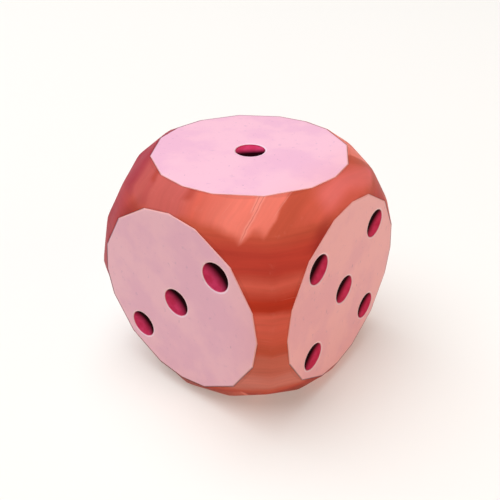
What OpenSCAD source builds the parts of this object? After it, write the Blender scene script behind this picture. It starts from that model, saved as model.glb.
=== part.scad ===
// Casino die with strongly rounded corners: a ball-like core, a flat plate set
// into each of its six sides, and a dished inlay for every pip of the count.
// Millimetres, +Z up, origin at the centre of the die.  Face 1 looks up.

/* [Die] */
// Distance between two opposite faces
die_size = 19; // [14:0.5:25]

/* [Core] */
// How far the middle of an edge reaches from the centre, in half sizes
edge_reach = 1.344; // [1.33:0.002:1.36]
// How far the shoulder between an edge and a corner reaches, in half sizes
shoulder_reach = 1.331; // [1.32:0.001:1.335]
// How far a corner reaches, in half sizes
corner_reach = 1.326; // [1.31:0.002:1.334]
// Angle from the middle of an edge to the shoulder
shoulder_turn = 20.5; // [18:0.5:23]
// Width of the core's rim around a pocket
rim_land = 0.06; // [0.03:0.01:0.1]

/* [Face plates] */
// Distance of a plate's corners from its middle, in half sizes
plate_reach = 0.836; // [0.8:0.002:0.846]
// Thickness of a plate
plate_t = 1; // [0.8:0.05:1.1]
// How far a plate stands out of the core
plate_proud = 0.03; // [0.03:0.01:0.12]
// Bevel along a plate's outer rim
plate_bevel = 0.03; // [0.03:0.01:0.08]

/* [Pips] */
// Diameter of a pip
pip_d = 2.3; // [1.6:0.1:2.6]
// Distance of a pip from the middle lines of its face, in half sizes
pip_offset = 0.44; // [0.4:0.002:0.48]
// Depth of the dish in a pip
dish_depth = 0.26; // [0.2:0.02:0.6]
// Bevel around the mouth of a pip's hole
mouth_bevel = 0.07; // [0.04:0.01:0.1]
// How far a pip reaches into the core below its plate
pip_key = 0.8; // [0.4:0.1:1.2]

/* [Fit] */
// Glue line around a plate and around a pip
glue_gap = 0.01; // [0.005:0.005:0.02]

/* [Hidden] */
half = die_size / 2;
pip_r = pip_d / 2;
plate_r = plate_reach * half;
core_flat = half - plate_proud;           // height of the core's cut sides
pocket_floor = half - plate_t;
pocket_r = plate_r + glue_gap;
socket_floor = pocket_floor - pip_key;
overrun = 1;                              // extra length of a cut past the skin

// Coordinates of the core's outermost points
edge_x = edge_reach * half / sqrt(2);
edge_land = 0.1;
shoulder_x = shoulder_reach * half * cos(shoulder_turn) / sqrt(2);
shoulder_z = shoulder_reach * half * sin(shoulder_turn);
corner_x = corner_reach * half / sqrt(3);

// A dish is a cut from a ball: its radius follows from its width and depth
dish_r = (pip_r * pip_r + dish_depth * dish_depth) / (2 * dish_depth);

// Turns that bring the +Z side to the side with n pips.  Opposite sides add
// up to seven, and 1, 2, 3 run counter-clockwise around their shared corner.
side_turns = [
    [0, 0, 0],        // 1 up
    [90, 0, -90],     // 2 on -X
    [90, 0, 0],       // 3 on -Y
    [-90, 0, 0],      // 4 on +Y
    [90, 0, 90],      // 5 on +X
    [180, 0, 0],      // 6 down
];

// Where the n pips of a side stand, in steps of the pip offset
function spots(n) = concat(
    n % 2 == 1 ? [[0, 0]] : [],
    n > 1 ? [[-1, -1], [1, 1]] : [],
    n > 3 ? [[-1, 1], [1, -1]] : [],
    n == 6 ? [[-1, 0], [1, 0]] : []);

// Sixteen corners on a circle: in each quarter at 0, t, 45 and 90 - t degrees
corner_turn = atan(1 / 3);
function sixteen_gon(r) = [
    for (quarter = [0:3])
        for (a = [0, corner_turn, 45, 90 - corner_turn])
            r * [cos(90 * quarter + a), sin(90 * quarter + a)]
];

core_red = [0.72, 0.25, 0.19];
plate_pink = [0.93, 0.74, 0.78];
pip_crimson = [0.76, 0.18, 0.34];

// Puts children drawn on top of the die onto the side with n pips
module on_side(n) rotate(side_turns[n - 1]) children();

// Puts children at one pip, or at every pip, of the side with n pips
module at_pip(n, i)
    on_side(n) translate(pip_offset * half * spots(n)[i - 1]) children();
module at_pips(n) for (i = [1:n]) at_pip(n, i) children();

// A standing sixteen-sided prism from one height to another
module prism(r, low, high)
    translate([0, 0, low]) linear_extrude(height = high - low) polygon(sixteen_gon(r));

// The faceted ball: the hull of the six cut sides, the twelve edges, the
// shoulders beside the corners, and the eight corners
module core_blank()
    hull() {
        for (n = [1:6])
            on_side(n) prism(pocket_r + rim_land, 0, core_flat);
        for (turn = [[0, 0, 0], [90, 0, 0], [0, 90, 0]])
            rotate(turn) {
                cube([2 * edge_x, 2 * edge_x, edge_land], center = true);
                cube([2 * shoulder_x, 2 * shoulder_x, 2 * shoulder_z], center = true);
            }
        cube(2 * corner_x, center = true);
    }

module core()
    color(core_red)
        difference() {
            core_blank();
            for (n = [1:6]) {
                on_side(n) prism(pocket_r, pocket_floor, half + overrun);
                at_pips(n)
                    translate([0, 0, socket_floor])
                        cylinder(h = half - socket_floor, r = pip_r + glue_gap, $fn = 48);
            }
        }

// A plate with its outer rim bevelled
module plate_blank()
    hull() {
        prism(plate_r, pocket_floor, half - plate_bevel);
        prism(plate_r - plate_bevel, pocket_floor, half);
    }

// The hole for a pip, with its mouth bevelled
module pip_hole() {
    translate([0, 0, pocket_floor - overrun])
        cylinder(h = plate_t + 2 * overrun, r = pip_r + glue_gap, $fn = 48);
    translate([0, 0, half - mouth_bevel])
        cylinder(h = 2 * mouth_bevel, r1 = pip_r + glue_gap,
                 r2 = pip_r + glue_gap + 2 * mouth_bevel, $fn = 48);
}

module face_plate(n)
    color(plate_pink)
        difference() {
            on_side(n) plate_blank();
            at_pips(n) pip_hole();
        }

// A plug from the bottom of its socket to just under the bevelled mouth,
// with a ball-shaped dish in its outer end
module pip(n, i)
    color(pip_crimson)
        at_pip(n, i)
            difference() {
                translate([0, 0, socket_floor])
                    cylinder(h = half - mouth_bevel - socket_floor, r = pip_r, $fn = 48);
                translate([0, 0, half - mouth_bevel + dish_r - dish_depth])
                    sphere(r = dish_r, $fn = 64);
            }

core();
for (n = [1:6])
    face_plate(n);
for (n = [1:6])
    for (i = [1:n])
        pip(n, i);
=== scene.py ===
"""Rounded casino die: a streaked red core, six pale plates and twenty-one dished pips.

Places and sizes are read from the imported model, apart from finish details that are finer
than it.  The meshes are built from rings of points in the position of the top side and
turned onto the other five, and every face corner carries its own shading normal, so flats
stay flat and bevels stay round.
"""

from math import atan, atan2, cos, pi, radians, sin

import bmesh
import bpy
from mathutils import Matrix, Quaternion, Vector


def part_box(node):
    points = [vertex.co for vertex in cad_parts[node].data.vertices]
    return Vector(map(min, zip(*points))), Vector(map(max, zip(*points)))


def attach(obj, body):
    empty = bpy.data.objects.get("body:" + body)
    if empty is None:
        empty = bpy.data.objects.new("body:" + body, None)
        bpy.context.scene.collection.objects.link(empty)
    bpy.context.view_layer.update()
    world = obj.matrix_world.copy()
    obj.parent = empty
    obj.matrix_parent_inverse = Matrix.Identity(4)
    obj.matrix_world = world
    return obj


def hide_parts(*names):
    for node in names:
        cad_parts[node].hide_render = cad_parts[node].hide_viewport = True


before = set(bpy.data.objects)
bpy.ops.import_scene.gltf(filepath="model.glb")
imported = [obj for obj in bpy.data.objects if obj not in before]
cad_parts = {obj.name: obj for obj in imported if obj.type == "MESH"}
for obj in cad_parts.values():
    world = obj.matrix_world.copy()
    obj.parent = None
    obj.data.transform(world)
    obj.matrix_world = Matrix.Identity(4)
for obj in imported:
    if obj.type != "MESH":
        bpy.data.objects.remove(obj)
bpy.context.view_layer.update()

# ---------------------------------------------------------------- sizes from the frame

UP = Vector((0, 0, 1))
CORE_POINTS = [v.co.copy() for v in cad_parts["core"].data.vertices]

plate_low, plate_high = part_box("face_plate_1")
pip_low, pip_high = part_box("pip_1_1")
half = plate_high.z           # half the size across two sides
plate_r = plate_high.x        # a plate's corners, from its middle
pocket_floor = plate_low.z
core_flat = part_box("core")[1].z
pip_r = pip_high.x
pip_top = pip_high.z
socket_floor = pip_low.z
MM = 0.001
SAME = 0.001 * MM             # closer than this is the same place

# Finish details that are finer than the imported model
GLUE = 0.01 * MM              # glue line around plates and pips
RIM_WIDTH = 0.16 * MM         # width of the rounding along a plate's outer rim
PROUD = half - core_flat      # and its depth: how far a plate stands out of the core
MOUTH_WIDTH = 0.22 * MM       # width of the rounding around a pip's hole
MOUTH = half - pip_top        # and its depth: how far a pip's rim lies below its plate
LIP = 0.03 * MM               # rounding of a pip's own rim
DISH = 0.26 * MM              # depth of a pip's dish
BEVEL_STEPS = 4               # bands in a rounding
ROUND_STEPS = 72              # points on a pip's circle
DISH_STEPS = 12               # bands in a dish
ACROSS, DOWN = 8, 6           # grid of each of the core's 96 skin panels
SOFTEN = 2                    # rounds of smoothing over the core's panel joints
PAINTED_LIGHT_CORNER = Vector((1, -1, 1.25)).normalized()  # the corner the painted light comes from: dishes get painted shade on their side towards it
# A dish has near-black painted shade inside a large circle, from here on towards that corner.
# The circle's start, its radius and the softness of its edge are in pip radii, for dishes that
# face along x, y and z
DARK_START = Vector((-0.33, -0.12, -0.43))
DARK_RADIUS = Vector((1.60, 8.00, 1.30))
DARK_FADE = Vector((0.38, 0.52, 0.37))

# The core's outermost points: the middle of an edge at y = 0, a corner at y = x, the shoulder
# between them, and the rim of its cut side
edge_x = max(CORE_POINTS, key=lambda p: p.x + p.z - abs(p.y)).x
corner_x = max(CORE_POINTS, key=min).x
shoulder = next(
    p for p in CORE_POINTS if abs(p.x - p.z) < SAME and 0.3 * p.x < p.y < 0.8 * p.x
)
core_rim_r = max(p.x for p in CORE_POINTS if abs(p.z - core_flat) < SAME)
pocket_r = plate_r + GLUE

# ---------------------------------------------------------------- outlines

# The corners of a sixteen-sided plate or pocket: four in each quarter
TURN = atan(1 / 3)
SIXTEEN = [q * pi / 2 + a for q in range(4) for a in (0, TURN, pi / 4, pi / 2 - TURN)]
CORNERS = len(SIXTEEN)


def direction(angle):
    """The flat unit vector at an angle from +X."""
    return Vector((cos(angle), sin(angle), 0))


class Outline:
    """A closed outline: unit points around a middle, and each span's two shading directions,
    which are one and the same where the outline is faceted."""

    def __init__(self, angles, middle=Vector((0, 0, 0)), faceted=False, inward=False):
        self.middle = middle
        self.rays = [direction(a) for a in angles]
        following = self.rays[1:] + self.rays[:1]
        sign = -1 if inward else 1
        if faceted:
            flats = [(a + b).normalized() * sign for a, b in zip(self.rays, following)]
            self.spans = [(f, f) for f in flats]
        else:
            self.spans = [(a * sign, b * sign) for a, b in zip(self.rays, following)]

    def at(self, radius, height):
        """The outline's points at a size and a height."""
        return [self.middle + ray * radius + UP * height for ray in self.rays]


def plate_outline(inward=False):
    """The sixteen-sided outline of plates and pockets."""
    return Outline(SIXTEEN, faceted=True, inward=inward)


def round_outline(middle, inward):
    """The round outline of a pip or, facing inward, of its hole."""
    return Outline([2 * pi * k / ROUND_STEPS for k in range(ROUND_STEPS)], middle, inward=inward)


# ---------------------------------------------------------------- solids


class Solid:
    """A closed mesh under construction, with a chosen shading normal in every face corner."""

    def __init__(self):
        self.mesh = bmesh.new()
        self.soft = self.mesh.loops.layers.float_vector.new("soft")
        self.turn = Matrix.Identity(3)

    def ring(self, points):
        """New points on this side of the die."""
        return [self.mesh.verts.new(self.turn @ p) for p in points]

    def face(self, corners, normals):
        """One face with a shading normal in each corner."""
        made = self.mesh.faces.new(corners)
        for loop, normal in zip(made.loops, normals):
            loop[self.soft] = self.turn @ normal

    def band(self, outline, below, above, tilt_below, tilt_above):
        """Quads between two rings; a tilt of 0 shades outward and one of pi/2 shades up."""
        count = len(below)
        for i in range(count):
            j = (i + 1) % count
            left, right = outline.spans[i]
            shades = [
                left * cos(tilt_below) + UP * sin(tilt_below),
                right * cos(tilt_below) + UP * sin(tilt_below),
                right * cos(tilt_above) + UP * sin(tilt_above),
                left * cos(tilt_above) + UP * sin(tilt_above),
            ]
            self.face([below[i], below[j], above[j], above[i]], shades)

    def flat(self, rings, normal):
        """One flat, bounded by its first ring, with the other rings as holes."""
        edges = []
        for ring in rings:
            for a, b in zip(ring, ring[1:] + ring[:1]):
                edges.append(self.mesh.edges.get((a, b)) or self.mesh.edges.new((a, b)))
        filled = bmesh.ops.triangle_fill(
            self.mesh, edges=edges, use_beauty=True, normal=self.turn @ normal
        )
        for item in filled["geom"]:
            if isinstance(item, bmesh.types.BMFace):
                for loop in item.loops:
                    loop[self.soft] = self.turn @ normal

    def build(self, name, node, material):
        """Turns the solid into a piece that stands for a CAD node."""
        bmesh.ops.recalc_face_normals(self.mesh, faces=self.mesh.faces)
        self.mesh.faces.ensure_lookup_table()
        shades = [tuple(loop[self.soft]) for face in self.mesh.faces for loop in face.loops]
        self.mesh.loops.layers.float_vector.remove(self.soft)
        data = bpy.data.meshes.new(name)
        self.mesh.to_mesh(data)
        self.mesh.free()
        data.shade_smooth()
        data.normals_split_custom_set(shades)
        data.materials.append(material)
        piece = bpy.data.objects.new(name, data)
        bpy.context.scene.collection.objects.link(piece)
        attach(piece, "root")
        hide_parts(node)
        return piece


def side_turn(number):
    """The turn that brings the top side onto the side that holds a face plate."""
    low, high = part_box(f"face_plate_{number}")
    out = Vector([round(c / half) for c in (low + high) / 2])
    upright = Vector((1, 0, 0)) if abs(out.z) > 0.5 else UP
    return Matrix((upright.cross(out), upright, out)).transposed()


def pip_middles(number):
    """Where a side's pips stand, as flat points in the position of the top side."""
    back = side_turn(number).transposed()
    middles = []
    for i in range(1, number + 1):
        low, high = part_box(f"pip_{number}_{i}")
        spot = back @ ((low + high) / 2)
        middles.append(Vector((spot.x, spot.y, 0)))
    return middles


# ---------------------------------------------------------------- core


def ridge_points():
    """The sixteen points half-way to the neighbouring sides: edges, shoulders and corners."""
    quarter = [
        Vector((edge_x, 0, edge_x)),
        Vector((shoulder.x, shoulder.y, shoulder.x)),
        Vector((corner_x, corner_x, corner_x)),
        Vector((shoulder.y, shoulder.x, shoulder.x)),
    ]
    return [Matrix.Rotation(q * pi / 2, 3, "Z") @ p for q in range(4) for p in quarter]


def panel_normals(rim, ridge):
    """Smooth shading normals at the sixteen rim points and the sixteen ridge points."""
    flats = []
    for i in range(CORNERS):
        j = (i + 1) % CORNERS
        flats.append((rim[j] - ridge[i]).cross(ridge[j] - rim[i]).normalized() * -1)
    if flats[0].z < 0:
        flats = [-f for f in flats]
    at_rim = [(flats[i - 1] + flats[i]).normalized() for i in range(CORNERS)]
    at_ridge = []
    for i in range(CORNERS):
        own = flats[i - 1] + flats[i]
        # a corner of the core is shared by three sides, and faces straight outward
        if i % 4 == 2:
            at_ridge.append(ridge[i].normalized())
            continue
        # elsewhere one other side meets this one in the plane between them: swap the outward
        # coordinate with the larger flat one, so both sides agree on the normal
        axis = 0 if abs(ridge[i].x) > abs(ridge[i].y) else 1
        sign = 1 if ridge[i][axis] > 0 else -1
        other = own.copy()
        other[axis], other.z = own.z * sign, own[axis] * sign
        at_ridge.append((own + other).normalized())
    return at_rim, at_ridge


def mix4(corners, s, t):
    """A point between four corners: s runs along the first side, t towards the second."""
    low = corners[0].lerp(corners[1], s)
    high = corners[3].lerp(corners[2], s)
    return low.lerp(high, t)


def core_side(solid, number):
    """The skin around one side, its pocket and the sockets under its pips."""
    solid.turn = side_turn(number)
    rim = [direction(a) * core_rim_r + UP * core_flat for a in SIXTEEN]
    ridge = ridge_points()
    at_rim, at_ridge = panel_normals(rim, ridge)
    rows = []
    for step in range(DOWN + 1):
        points, shades = [], []
        for i in range(CORNERS):
            j = (i + 1) % CORNERS
            for k in range(ACROSS):
                s, t = k / ACROSS, step / DOWN
                points.append(mix4((rim[i], rim[j], ridge[j], ridge[i]), s, t))
                shades.append(
                    mix4((at_rim[i], at_rim[j], at_ridge[j], at_ridge[i]), s, t).normalized()
                )
        rows.append((solid.ring(points), shades))
    for (inner, inner_n), (outer, outer_n) in zip(rows, rows[1:]):
        for i in range(len(inner)):
            j = (i + 1) % len(inner)
            solid.face(
                [outer[i], outer[j], inner[j], inner[i]],
                [outer_n[i], outer_n[j], inner_n[j], inner_n[i]],
            )
    # land, pocket wall and pocket floor; the land joins the skin's finely cut first row
    outline = plate_outline()
    mouth = solid.ring(outline.at(pocket_r, core_flat))
    floor_ring = solid.ring(outline.at(pocket_r, pocket_floor))
    solid.flat([rows[0][0], mouth], UP)
    solid.band(plate_outline(inward=True), floor_ring, mouth, 0, 0)
    holes = []
    for middle in pip_middles(number):
        wall = round_outline(middle, inward=True)
        top = solid.ring(wall.at(pip_r + GLUE, pocket_floor))
        bottom = solid.ring(wall.at(pip_r + GLUE, socket_floor))
        solid.band(wall, bottom, top, 0, 0)
        solid.flat([bottom], UP)
        holes.append(top)
    solid.flat([floor_ring] + holes, UP)
    return rows


def make_core(material):
    """The core: six sides welded along their ridges, with the joints between panels softened."""
    solid = Solid()
    skin = []
    for number in range(1, 7):
        rows = core_side(solid, number)
        skin += [v for ring, _ in rows[1:] for v in ring]
    bmesh.ops.remove_doubles(solid.mesh, verts=skin, dist=2 * SAME)
    skin = [v for v in skin if v.is_valid]
    for _ in range(SOFTEN):
        bmesh.ops.smooth_vert(
            solid.mesh, verts=skin, factor=0.5, use_axis_x=True, use_axis_y=True, use_axis_z=True
        )
    return solid.build("die_core", "core", material)


# ---------------------------------------------------------------- plates and pips


def bevel(outline, solid, radius, height, width, depth, inside=False):
    """Rings that round an edge off, from the wall to the flat, as (ring, tilt) pairs."""
    rings = []
    sign = -1 if inside else 1
    for k in range(BEVEL_STEPS + 1):
        tilt = k / BEVEL_STEPS * pi / 2
        r = radius - sign * width * (1 - cos(tilt))
        z = height - depth + depth * sin(tilt)
        rings.append((solid.ring(outline.at(r, z)), tilt))
    return rings


def join(solid, outline, rings):
    """Bands through a row of (ring, tilt) pairs."""
    for (below, tilt_below), (above, tilt_above) in zip(rings, rings[1:]):
        solid.band(outline, below, above, tilt_below, tilt_above)


def make_plate(number, material):
    """A plate with a rounded rim, and a round-mouthed hole for each of its pips."""
    solid = Solid()
    solid.turn = side_turn(number)
    outline = plate_outline()
    foot = solid.ring(outline.at(plate_r, pocket_floor))
    rounded = bevel(outline, solid, plate_r, half, RIM_WIDTH, PROUD)
    join(solid, outline, [(foot, 0)] + rounded)
    tops, feet = [rounded[-1][0]], [foot]
    for middle in pip_middles(number):
        wall = round_outline(middle, inward=True)
        hole_foot = solid.ring(wall.at(pip_r + GLUE, pocket_floor))
        mouth = bevel(wall, solid, pip_r + GLUE, half, MOUTH_WIDTH, MOUTH, inside=True)
        join(solid, wall, [(hole_foot, 0)] + mouth)
        tops.append(mouth[-1][0])
        feet.append(hole_foot)
    solid.flat(tops, UP)
    solid.flat(feet, -UP)
    return solid.build(f"plate_{number}", f"face_plate_{number}", material)


def make_pip(number, index, material):
    """A plug with a rounded rim and a ball-shaped dish."""
    solid = Solid()
    solid.turn = side_turn(number)
    outline = round_outline(pip_middles(number)[index - 1], inward=False)
    foot = solid.ring(outline.at(pip_r, socket_floor))
    lip = bevel(outline, solid, pip_r, pip_top, LIP, LIP)
    join(solid, outline, [(foot, 0)] + lip)
    solid.flat([foot], -UP)
    # the dish is part of a ball: its rings are spaced evenly along the ball's arc
    edge = pip_r - LIP
    ball = (edge * edge + DISH * DISH) / (2 * DISH)
    arc = atan2(edge, ball - DISH)
    dish = [(lip[-1][0], pi / 2 + arc)]
    for k in range(1, DISH_STEPS):
        angle = arc * (1 - k / DISH_STEPS)
        z = pip_top - DISH + ball * (1 - cos(angle))
        dish.append((solid.ring(outline.at(ball * sin(angle), z)), pi / 2 + angle))
    join(solid, outline, dish)
    centre = solid.ring([outline.middle + UP * (pip_top - DISH)])[0]
    last, tilt = dish[-1]
    for i in range(len(last)):
        j = (i + 1) % len(last)
        left, right = outline.spans[i]
        shades = [left * cos(tilt) + UP * sin(tilt), right * cos(tilt) + UP * sin(tilt), UP]
        solid.face([last[i], last[j], centre], shades)
    name = f"pip_{number}_{index}_dish"
    piece = solid.build(name, f"pip_{number}_{index}", material)
    mark_painted_shade(piece, solid.turn @ outline.middle, solid.turn @ UP)
    return piece


def mark_painted_shade(piece, middle, out):
    """Stores how far each point is inside its dish's circle of painted shade: -1 and 1 end the
    fade.
    """
    painted_shade = (PAINTED_LIGHT_CORNER - out * PAINTED_LIGHT_CORNER.dot(out)).normalized()
    axes = Vector([abs(c) for c in out])
    radius = DARK_RADIUS.dot(axes)
    dark = middle / pip_r + painted_shade * (DARK_START.dot(axes) + radius)
    inside = []
    for vertex in piece.data.vertices:
        place = vertex.co / pip_r - dark
        away = (place - out * place.dot(out)).length
        inside.append((radius - away) / DARK_FADE.dot(axes))
    stored = piece.data.attributes.new("painted_shade", "FLOAT", "POINT")
    stored.data.foreach_set("value", inside)


# ---------------------------------------------------------------- materials


class Graph:
    """A material's node tree; each call adds a node and returns its output socket.  The place
    on the die, and its x, y and z, are in half sizes."""

    def __init__(self, name):
        self.material = bpy.data.materials.new(name)
        self.material.use_nodes = True
        self.tree = self.material.node_tree
        self.surface = self.tree.nodes["Principled BSDF"]
        place = self.node("ShaderNodeTexCoord", out="Object")
        self.place = self.vector("SCALE", place, scale=1 / half)
        self.x, self.y, self.z = self.split(self.place)

    def node(self, kind, inputs=None, out=0, **settings):
        made = self.tree.nodes.new(kind)
        for key, value in settings.items():
            setattr(made, key, value)
        for key, value in (inputs or {}).items():
            self.feed(made.inputs[key], value)
        return made.outputs[out]

    def feed(self, socket, value):
        if isinstance(value, bpy.types.NodeSocket):
            self.tree.links.new(value, socket)
        else:
            socket.default_value = value

    def set(self, **inputs):
        """Feeds the surface shader; an underscore in a name stands for a space."""
        for key, value in inputs.items():
            self.feed(self.surface.inputs[key.replace("_", " ")], value)

    def math(self, operation, a, b=0.0):
        return self.node("ShaderNodeMath", {0: a, 1: b}, operation=operation)

    def plus(self, a, b):
        return self.math("ADD", a, b)

    def minus(self, a, b):
        return self.math("SUBTRACT", a, b)

    def times(self, a, b):
        return self.math("MULTIPLY", a, b)

    def larger(self, a, b):
        return self.math("MAXIMUM", a, b)

    def smaller(self, a, b):
        return self.math("MINIMUM", a, b)

    def absolute(self, a):
        return self.math("ABSOLUTE", a)

    def vector(self, operation, a, b=None, scale=None):
        inputs = {0: a}
        if b is not None:
            inputs[1] = b
        if scale is not None:
            inputs["Scale"] = scale
        out = "Value" if operation == "DOT_PRODUCT" else "Vector"
        return self.node("ShaderNodeVectorMath", inputs, out=out, operation=operation)

    def stretched(self, x, y, z):
        """The place with each coordinate multiplied: a larger number gives finer noise."""
        return self.vector("MULTIPLY", self.place, (x, y, z))

    def split(self, vector):
        made = self.tree.nodes.new("ShaderNodeSeparateXYZ")
        self.feed(made.inputs[0], vector)
        return made.outputs[0], made.outputs[1], made.outputs[2]

    def grey(self, value):
        return self.node("ShaderNodeCombineXYZ", {0: value, 1: value, 2: value})

    def noise(self, vector, scale, detail=3.0, roughness=0.5):
        inputs = {"Vector": vector, "Scale": scale, "Detail": detail, "Roughness": roughness}
        return self.node("ShaderNodeTexNoise", inputs, out="Fac")

    def step(self, value, low, high, clamp_low=0.0, clamp_high=1.0):
        """0 below low, 1 above high, smooth in between; low may be the larger one.  The two
        clamps stand in for 0 and 1."""
        inputs = {"Value": value, 1: low, 2: high, 3: clamp_low, 4: clamp_high}
        return self.node("ShaderNodeMapRange", inputs, interpolation_type="SMOOTHSTEP")

    def stripe(self, value, middle, reach):
        """1 on the middle value, fading to 0 at the reach on both sides."""
        away = self.absolute(self.minus(value, middle))
        return self.step(away, reach, 0.0)

    def centred(self, value, spread):
        """Moves a 0 to 1 value to plus and minus half the spread."""
        return self.times(self.minus(value, 0.5), spread)

    def bands(self, value, stops):
        """A colour for a coordinate of -1 to 1, from places and the names of tones."""
        made = self.tree.nodes.new("ShaderNodeValToRGB")
        self.feed(made.inputs[0], self.plus(self.times(value, 0.5), 0.5))
        marks = made.color_ramp.elements
        while len(marks) > 1:
            marks.remove(marks[0])
        for k, (place, tone) in enumerate(stops):
            mark = marks[0] if k == 0 else marks.new(0.5 + place / 2)
            mark.position = 0.5 + place / 2
            mark.color = rgb(*TONES[tone])
        return made.outputs[0]

    def grain(self, cap, fineness, length, detail):
        """Noise drawn out along the core's bands: down the caps and round the waist."""
        on_cap = self.noise(self.stretched(fineness, length, length), 1.0, detail, 0.6)
        on_waist = self.noise(self.stretched(length, length, fineness), 1.0, detail, 0.6)
        return self.mix(cap, on_waist, on_cap)

    def side_place(self):
        """On any side: height out from the centre, next largest coordinate, distance from
        the side's own axis."""
        a, b, c = [self.absolute(v) for v in (self.x, self.y, self.z)]
        high, low = self.larger(a, b), self.smaller(a, b)
        top = self.larger(high, c)
        middle = self.larger(low, self.smaller(high, c))
        square = self.vector("DOT_PRODUCT", self.place, self.place)
        return top, middle, self.math("SQRT", self.minus(square, self.times(top, top)))

    def mix(self, factor, a, b, mode="MIX"):
        made = self.tree.nodes.new("ShaderNodeMix")
        made.data_type = "RGBA"
        made.blend_type = mode
        self.feed(made.inputs[0], factor)
        self.feed(made.inputs[6], a)
        self.feed(made.inputs[7], b)
        return made.outputs[2]

    def tint(self, colour, tone, mask, strength):
        """A colour moved towards a tone, as far as a mask of 0 to 1 and a strength say."""
        return self.mix(self.times(mask, strength), colour, tone)

    def bump(self, height, strength, distance):
        inputs = {"Height": height, "Strength": strength, "Distance": distance}
        return self.node("ShaderNodeBump", inputs, out="Normal")


def rgb(red, green, blue):
    """A shader colour from screen values of 0 to 255."""
    def linear(c):
        c /= 255
        return c / 12.92 if c <= 0.04045 else ((c + 0.055) / 1.055) ** 2.4
    return (linear(red), linear(green), linear(blue), 1.0)


# Tones of the core's resin, as screen colours
TONES = {
    "wine": (178, 58, 58),
    "mauve": (198, 85, 76),
    "rose": (206, 94, 82),
    "ember": (190, 57, 34),
    "rust": (193, 66, 49),
    "clay": (202, 86, 60),
    "terra": (205, 104, 82),
    "coral": (221, 98, 76),
    # salmon is partly the resin's tone and partly a painted highlight
    "salmon": (244, 125, 102),
    "blush": (210, 118, 100),
}

# The core's bands, as places in half sizes and tones.  Above and below the side plates
# they run across x, and between those two caps they run across z.
CAP_BANDS = [
    (-1.00, "wine"), (-0.62, "wine"), (-0.50, "rose"), (-0.40, "rose"), (-0.34, "mauve"),
    (-0.30, "mauve"), (-0.27, "rose"), (0.06, "rose"), (0.19, "coral"), (0.46, "salmon"),
    (0.70, "salmon"), (0.72, "clay"), (0.80, "clay"), (0.94, "coral"),
]
WAIST_BANDS = [
    (-0.78, "ember"), (-0.68, "clay"), (-0.58, "blush"), (-0.44, "blush"), (-0.35, "terra"),
    (-0.16, "terra"), (-0.10, "clay"), (-0.05, "clay"), (0.12, "coral"), (0.24, "coral"),
    (0.29, "ember"), (0.35, "ember"), (0.47, "coral"), (0.56, "rust"), (0.68, "rust"),
    (0.80, "clay"),
]
GROOVE = 0.592                # where a scored line runs down the caps, in half sizes
SCRATCH = 0.568               # and where a shorter one does


def cap_mask(g, upright):
    """1 on the caps above and below the side plates and 0 on the waist between them.  The
    caps reach furthest down over the salmon band, in uneven tongues."""
    reach = g.centred(g.noise(g.stretched(6, 6, 2), 1.0, 3.0), 0.10)
    reach = g.plus(reach, g.times(g.step(g.x, 0.32, 0.56), 0.065))
    reach = g.plus(reach, g.times(g.stripe(g.x, 0.59, 0.06), 0.028))
    reach = g.minus(reach, g.times(g.step(g.x, 0.60, 0.66), 0.025))
    reach = g.plus(reach, g.times(g.step(g.x, 0.12, -0.05), 0.06))
    return g.step(g.plus(upright, reach), 0.80, 0.89)


def shade_core(g, colour, cap):
    """The broad changes of colour that lie over the core's bands."""
    # the underside is duller, and the side away from +X turns crimson as painted cool light from
    # that side
    colour = g.tint(colour, rgb(128, 56, 42), g.step(g.z, -0.70, -0.86), 0.6)
    colour = g.tint(colour, rgb(174, 52, 64), g.step(g.x, -0.30, -0.80), 0.85)

    # the caps are flushed pink on their +X slope, less so next to the plate, and more
    # deeply towards +Y
    flush = g.times(g.step(g.x, 0.76, 0.90), g.step(g.y, -0.38, -0.18))
    flush = g.times(flush, g.step(g.x, 0.985, 0.925, 0.10, 0.75))
    pink = g.mix(g.step(g.y, 0.42, 0.62), rgb(236, 118, 108), rgb(255, 124, 140))
    colour = g.tint(colour, pink, flush, cap)

    # darker in a patch by the +X plate and one by the -Y plate, and redder further along the +X
    # plate
    by_x = g.times(g.step(g.x, 0.93, 0.98), g.stripe(g.y, -0.42, 0.20))
    by_y = g.times(g.step(g.y, -0.91, -0.98), g.stripe(g.x, -0.46, 0.24))
    colour = g.tint(colour, rgb(150, 42, 36), g.larger(by_x, by_y), 0.55)
    further = g.times(g.step(g.x, 0.93, 0.98), g.step(g.y, 0.34, 0.46))
    return g.tint(colour, rgb(200, 52, 42), further, 0.4)


def core_dashes(g, colour, across, upright):
    """Two short dark dashes beside the top plate, and two beside the bottom one."""
    both = g.larger(g.stripe(across, -0.32, 0.06), g.stripe(across, 0.11, 0.07))
    dashes = g.times(both, g.step(upright, 0.93, 0.965))
    return g.tint(colour, rgb(184, 66, 46), dashes, 0.65)


def core_grain(g, colour, cap):
    """Grain along the bands: broad soft strokes, fine lines, and sparse pale ones.  Gives the
    colour and the fine lines."""
    broad = g.grain(cap, 9.0, 1.4, 3.0)
    fine = g.grain(cap, 34.0, 1.6, 4.0)
    fine_spread = g.step(cap, 0.0, 1.0, 0.34, 0.16)
    shade = g.plus(g.centred(broad, 0.24), g.centred(fine, fine_spread))
    colour = g.mix(1.0, colour, g.grey(g.plus(shade, 1.0)), "MULTIPLY")
    pale = g.step(g.grain(cap, 60.0, 1.8, 1.0), 0.74, 0.82)
    return g.tint(colour, rgb(250, 160, 138), pale, 0.30), fine


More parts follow.
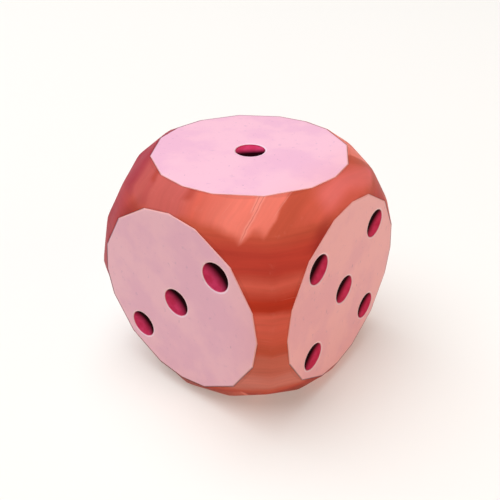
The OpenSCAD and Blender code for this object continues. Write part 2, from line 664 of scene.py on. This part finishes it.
def scored_lines(g, colour, straight, cap, upright):
    """Two scored lines between bright edges, the shorter one next to the top and bottom
    plates.  Gives the colour and a mask of the cuts."""
    beside_plate = g.times(cap, g.step(upright, 0.90, 0.93))
    cuts = []
    for line, width, where in ((GROOVE, 0.007, cap), (SCRATCH, 0.006, beside_plate)):
        edges = g.times(g.stripe(straight, line, 0.020), where)
        colour = g.tint(colour, rgb(255, 160, 138), edges, 0.75)
        cuts.append(g.times(g.stripe(straight, line, width), where))
    cut = g.larger(cuts[0], cuts[1])
    return g.tint(colour, rgb(214, 100, 78), cut, 0.75), cut


def worn_seams(g, colour):
    """A darker glue seam along the plates, and ridges lightly rubbed in patches.  Gives the
    colour and a mask of the wear."""
    top, middle, radius = g.side_place()
    rim = plate_r / half
    seam = g.times(g.step(radius, rim + 0.008, rim + 0.002), g.step(top, 0.97, 0.985))
    colour = g.tint(colour, rgb(110, 34, 28), seam, 0.12)
    ridge = g.step(g.minus(top, middle), 0.06, 0.0)
    wear = g.times(ridge, g.step(g.noise(g.place, 16.0, 4.0, 0.65), 0.52, 0.68))
    return g.tint(colour, rgb(236, 150, 130), wear, 0.08), wear


def core_material():
    """Swirled resin: banded caps and waist, soft grain, two scored lines and worn ridges. The
    salmon band is partly a painted highlight, and the crimson towards -X is painted cool light.
    """
    g = Graph("core_resin")
    drift = g.centred(g.noise(g.place, 2.1, 2.0), 0.06)
    ripple = g.centred(g.noise(g.place, 9.0, 3.0), 0.030)
    wobble = g.plus(drift, ripple)
    upright = g.absolute(g.z)
    straight = g.plus(g.x, wobble)
    across = g.plus(straight, g.times(g.minus(upright, 0.93), 0.2))
    level = g.plus(g.z, wobble)

    cap = cap_mask(g, upright)
    colour = g.mix(cap, g.bands(level, WAIST_BANDS), g.bands(across, CAP_BANDS))
    colour = shade_core(g, colour, cap)
    colour = core_dashes(g, colour, across, upright)
    colour, fine = core_grain(g, colour, cap)
    colour, cut = scored_lines(g, colour, straight, cap, upright)
    colour, wear = worn_seams(g, colour)

    rough = g.plus(0.40, g.times(g.noise(g.place, 14.0, 4.0), 0.10))
    rough = g.plus(rough, g.times(wear, 0.2))
    height = g.minus(g.centred(fine, 0.2), g.times(cut, 0.5))
    g.set(
        Base_Color=colour,
        Roughness=rough,
        Normal=g.bump(height, 0.25, 0.04 * MM),
        IOR=1.3,
        Specular_IOR_Level=0.12,
        Specular_Tint=(0.55, 0.38, 0.48, 1.0),
    )
    return g.material


def plate_material():
    """Satin resin plate: pale pink and mottled, peach towards +X as painted warm light, with
    painted highlights and painted shade on its rims and holes.
    """
    g = Graph("plate_resin")
    # painted warm light: the plate colour turns peach towards +X
    painted_warm_light = g.step(g.x, 0.4, 1.0)
    colour = g.mix(painted_warm_light, (0.96, 0.51, 0.545, 1), (0.965, 0.485, 0.475, 1))
    cloud = g.noise(g.place, 2.6, 3.0, 0.55)
    cool = g.mix(1.0, colour, (0.935, 0.895, 0.965, 1), "MULTIPLY")
    colour = g.mix(g.step(cloud, 0.40, 0.62), colour, cool)
    fleck = g.step(g.noise(g.place, 18.0, 3.0, 0.6), 0.60, 0.74)
    colour = g.tint(colour, rgb(200, 145, 168), fleck, 0.35)

    # short scuffs
    scuff = g.step(g.noise(g.stretched(30.0, 34.0, 9.0), 1.0, 1.0), 0.73, 0.80)
    colour = g.tint(colour, rgb(165, 115, 135), scuff, 0.5)

    # off the flat face: the outer rim, and the mouths and walls of the holes, all with painted
    # light. Rims and walls that face the corner of the painted light get a painted highlight,
    # the others painted shade
    top, _, radius = g.side_place()
    facing = g.node("ShaderNodeTexCoord", out="Normal")
    painted_light_facing = g.vector("DOT_PRODUCT", facing, tuple(PAINTED_LIGHT_CORNER))
    # rims: painted highlight where they face the painted light, painted shade elsewhere
    rim = g.mix(g.step(painted_light_facing, 0.25, 0.65), rgb(150, 110, 118), rgb(255, 184, 172))
    # hole walls: near-black painted shade, or crimson where they face the painted light
    wall = g.mix(g.step(painted_light_facing, 0.0, 0.3), (0.10, 0.006, 0.014, 1), (0.80, 0.07, 0.16, 1))
    # the mouths of the holes: a pale painted highlight
    painted_hole_light = g.mix(g.step(top, 0.9974, 0.9958), rgb(255, 210, 211), wall)
    beyond_holes = g.step(radius, 0.79, 0.80)
    off_face = g.step(top, 0.9999, 0.9994)
    colour = g.mix(off_face, colour, g.mix(beyond_holes, painted_hole_light, rim))

    rough = g.plus(0.40, g.times(g.noise(g.place, 22.0, 4.0), 0.16))
    height = g.minus(g.noise(g.place, 60.0, 3.0), scuff)
    g.set(
        Base_Color=colour,
        Roughness=rough,
        Normal=g.bump(height, 0.12, 0.03 * MM),
        Specular_IOR_Level=0.35,
    )
    return g.material


def pip_material():
    """Crimson enamel in a dish, with a near-black painted shade in a crescent on one side, and a
    fine mottle.
    """
    g = Graph("pip_enamel")
    # painted shade in the dish, 0 to 1, read from the value stored on the mesh
    depth = g.step(g.node("ShaderNodeAttribute", out="Fac", attribute_name="painted_shade"), -1.0, 1.0)
    cloud = g.noise(g.place, 14.0, 3.0, 0.55)
    colour = g.mix(g.step(cloud, 0.35, 0.65), (0.61, 0.034, 0.092, 1), (0.69, 0.048, 0.128, 1))
    # the painted shade turns the enamel near black
    colour = g.mix(depth, colour, (0.012, 0.001, 0.002, 1))
    rough = g.plus(0.36, g.times(g.noise(g.place, 30.0, 3.0), 0.2))
    g.set(
        Base_Color=colour,
        Roughness=rough,
        Normal=g.bump(g.noise(g.place, 45.0, 3.0), 0.15, 0.03 * MM),
        IOR=1.04,
        Specular_IOR_Level=0.3,
        Specular_Tint=(1.0, 0.45, 0.55, 1.0),
    )
    return g.material


# ---------------------------------------------------------------- the die

core_resin = core_material()
plate_resin = plate_material()
pip_enamel = pip_material()

make_core(core_resin)
for number in range(1, 7):
    make_plate(number, plate_resin)
    for index in range(1, number + 1):
        make_pip(number, index, pip_enamel)

# ---------------------------------------------------------------- camera

CAMERA_AZIMUTH = radians(37.89)
CAMERA_ELEVATION = radians(32.71)
CAMERA_ROLL = radians(-0.21)
CAMERA_DISTANCE = 5.729 * half
CAMERA_LENS = 44.51           # mm, for a 36 mm wide sensor
CAMERA_SHIFT = (-0.00125, 0.00075)

camera = bpy.data.objects.new("camera", bpy.data.cameras.new("camera"))
camera.data.lens = CAMERA_LENS
camera.data.sensor_width = 36.0
camera.data.clip_start = MM
camera.data.shift_x, camera.data.shift_y = CAMERA_SHIFT
away = Vector((
    sin(CAMERA_AZIMUTH) * cos(CAMERA_ELEVATION),
    -cos(CAMERA_AZIMUTH) * cos(CAMERA_ELEVATION),
    sin(CAMERA_ELEVATION),
))
camera.location = away * CAMERA_DISTANCE
turned = away.to_track_quat("Z", "Y") @ Quaternion((0, 0, 1), CAMERA_ROLL)
camera.rotation_euler = turned.to_euler()
bpy.context.scene.collection.objects.link(camera)
bpy.context.scene.camera = camera

# ---------------------------------------------------------------- floor and light

LIGHT_DISTANCE = 1.0          # metres from the middle of the die


def set_piece(name, points, faces, look):
    """Something around the die that isn't part of it; look sets up its shader."""
    data = bpy.data.meshes.new(name)
    data.from_pydata(points, [], faces)
    material = bpy.data.materials.new(f"{name}_paint")
    material.use_nodes = True
    shader = material.node_tree.nodes["Principled BSDF"]
    for key, value in look.items():
        shader.inputs[key].default_value = value
    data.materials.append(material)
    made = bpy.data.objects.new(name, data)
    bpy.context.scene.collection.objects.link(made)
    return made


def make_floor():
    """A pale floor that glows a little, so that it stays pale between the softboxes."""
    reach, z = 1.5, -half
    corners = [(-reach, -reach, z), (reach, -reach, z), (reach, reach, z), (-reach, reach, z)]
    set_piece("floor", corners, [(0, 1, 2, 3)], {
        "Base Color": (0.66, 0.60, 0.51, 1),
        "Roughness": 0.9,
        "Emission Color": (1.0, 0.92, 0.84, 1),
        "Emission Strength": 0.30,
    })


def make_backdrop():
    """A white tube around the scene, so low views don't end in the dim sky.  It is there for
    the camera alone and neither lights nor shades the die."""
    turns, reach, height = 48, 0.4, 0.5
    ring = [direction(2 * pi * k / turns) * reach for k in range(turns)]
    points = [p - UP * height for p in ring] + [p + UP * height for p in ring]
    walls = [(k, (k + 1) % turns, (k + 1) % turns + turns, k + turns) for k in range(turns)]
    backdrop = set_piece("backdrop", points, walls, {
        "Base Color": (0, 0, 0, 1),
        "Emission Color": (1, 1, 1, 1),
        "Emission Strength": 0.97,
    })
    backdrop.visible_diffuse = False
    backdrop.visible_glossy = False
    backdrop.visible_transmission = False
    backdrop.visible_shadow = False


def area_light(name, azimuth, elevation, size, power, colour):
    """A square softbox that looks at the die from a direction given in degrees."""
    data = bpy.data.lights.new(name, "AREA")
    data.size = size
    data.energy = power
    data.color = colour
    light = bpy.data.objects.new(name, data)
    a, e = radians(azimuth), radians(elevation)
    out = Vector((sin(a) * cos(e), -cos(a) * cos(e), sin(e)))
    light.location = out * LIGHT_DISTANCE
    light.rotation_euler = out.to_track_quat("Z", "Y").to_euler()
    light.visible_camera = False
    bpy.context.scene.collection.objects.link(light)


def make_world():
    """A dim, even white sky."""
    world = bpy.data.worlds.new("studio")
    world.use_nodes = True
    back = world.node_tree.nodes["Background"]
    back.inputs["Color"].default_value = (1, 1, 1, 1)
    back.inputs["Strength"].default_value = 0.09
    bpy.context.scene.world = world


make_floor()
make_backdrop()
make_world()
area_light("overhead", -60, 76, 1.1, 14.5, (0.92, 1.05, 1.24))
area_light("warm_side", 95, 20, 0.8, 2.6, (1.0, 0.50, 0.26))

bpy.context.scene.view_settings.view_transform = "Standard"
